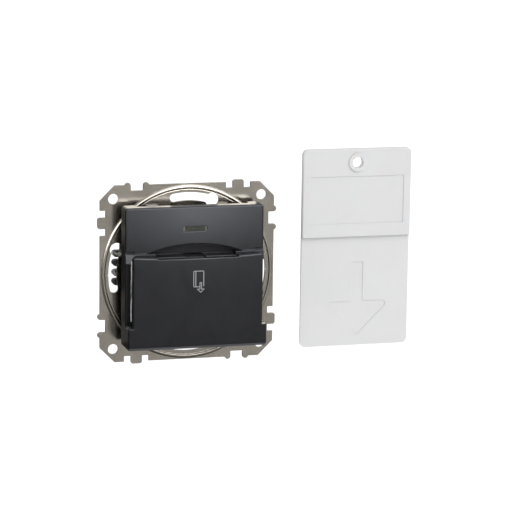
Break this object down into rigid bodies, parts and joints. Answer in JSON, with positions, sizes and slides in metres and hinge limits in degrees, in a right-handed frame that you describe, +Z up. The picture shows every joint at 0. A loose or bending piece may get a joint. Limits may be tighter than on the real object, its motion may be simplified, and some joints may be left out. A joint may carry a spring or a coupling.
{
  "type": "hotel key card switch",
  "caption": "Hotel key card switch: dark cover with a card pocket, thumb scoop and sprung card lever on a square metal mounting frame, wiring housing behind, white key card beside it.",
  "frame": {"origin": "centre of the mounting frame's back face, which lies on the wall", "axes": "+X to the right seen from the front, +Y into the wall, +Z up"},
  "size_m": [0.1288, 0.0411, 0.0834],
  "materials": {
    "zinc_steel": "zinc-plated stamped steel with a fine grain",
    "cover_plastic": "anthracite satin moulded plastic",
    "lens_plastic": "olive-grey translucent moulded plastic",
    "bridge_plastic": "dark grey moulded plastic",
    "lever_plastic": "black moulded plastic, polished by the card at its tip",
    "rocker_plastic": "natural moulded plastic",
    "housing_plastic": "black moulded thermoset",
    "slider_plastic": "black moulded plastic",
    "pin_steel": "ground steel pin",
    "spring_steel": "bright spring wire and strip",
    "screw_steel": "zinc-plated screw",
    "terminal_brass": "stamped brass strip",
    "contact_silver": "silver-faced copper rivet",
    "board_laminate": "phenolic board",
    "lamp_resin": "clear lamp resin on a white base",
    "wire_insulation": "insulated solid wire",
    "card_plastic": "white moulded card, satin"
  },
  "bodies": {
    "switch_frame": {"mounting_frame": "zinc_steel", "front_cover": "cover_plastic", "indicator_lens": "lens_plastic", "mechanism_bridge": "bridge_plastic", "bridge_screws": "screw_steel", "lever_pin": "pin_steel", "return_spring": "spring_steel", "rocker_pin": "pin_steel", "fixed_rivets": "contact_silver", "common_terminal": "terminal_brass", "rest_contact_terminal": "terminal_brass", "card_contact_terminal": "terminal_brass", "neutral_terminal": "terminal_brass", "rear_housing": "housing_plastic", "lamp_board": "board_laminate", "indicator_lamp": "lamp_resin", "lamp_wires": "wire_insulation", "key_card": "card_plastic"},
    "card_lever": {"card_lever": "lever_plastic"},
    "contact_rocker": {"contact_rocker": "rocker_plastic", "moving_contact": "terminal_brass", "moving_rivets": "contact_silver"},
    "release_slider_left_upper": {"release_slider_left_upper": "slider_plastic", "clamp_spring_left_upper": "spring_steel"},
    "release_slider_left_lower": {"release_slider_left_lower": "slider_plastic", "clamp_spring_left_lower": "spring_steel"},
    "release_slider_right_upper": {"release_slider_right_upper": "slider_plastic", "clamp_spring_right_upper": "spring_steel"},
    "release_slider_right_lower": {"release_slider_right_lower": "slider_plastic", "clamp_spring_right_lower": "spring_steel"}
  },
  "joints": [
    {"name": "lever_tilt", "type": "hinge", "parent": "switch_frame", "child": "card_lever", "pos_m": [0, -0.0065, 0.005], "axis": [1, 0, 0], "range_deg": [0, 20], "stiffness_Nm_per_rad": 0.02, "springref_deg": -8.59, "deforming": ["return_spring"]},
    {"name": "contact_tilt", "type": "hinge", "parent": "switch_frame", "child": "contact_rocker", "pos_m": [0, 0.012, 0.005], "axis": [1, 0, 0], "range_deg": [-28.58, 0]},
    {"name": "release_left_upper", "type": "slide", "parent": "switch_frame", "child": "release_slider_left_upper", "axis": [1, 0, 0], "range_m": [0, 0.0015], "stiffness_N_per_m": 400, "springref_m": -0.001},
    {"name": "release_left_lower", "type": "slide", "parent": "switch_frame", "child": "release_slider_left_lower", "axis": [1, 0, 0], "range_m": [0, 0.0015], "stiffness_N_per_m": 400, "springref_m": -0.001},
    {"name": "release_right_upper", "type": "slide", "parent": "switch_frame", "child": "release_slider_right_upper", "axis": [-1, 0, 0], "range_m": [0, 0.0015], "stiffness_N_per_m": 400, "springref_m": -0.001},
    {"name": "release_right_lower", "type": "slide", "parent": "switch_frame", "child": "release_slider_right_lower", "axis": [-1, 0, 0], "range_m": [0, 0.0015], "stiffness_N_per_m": 400, "springref_m": -0.001}
  ],
  "couplings": [
    {"joint": "contact_tilt", "follows": "lever_tilt", "ratio": -1.4288}
  ]
}
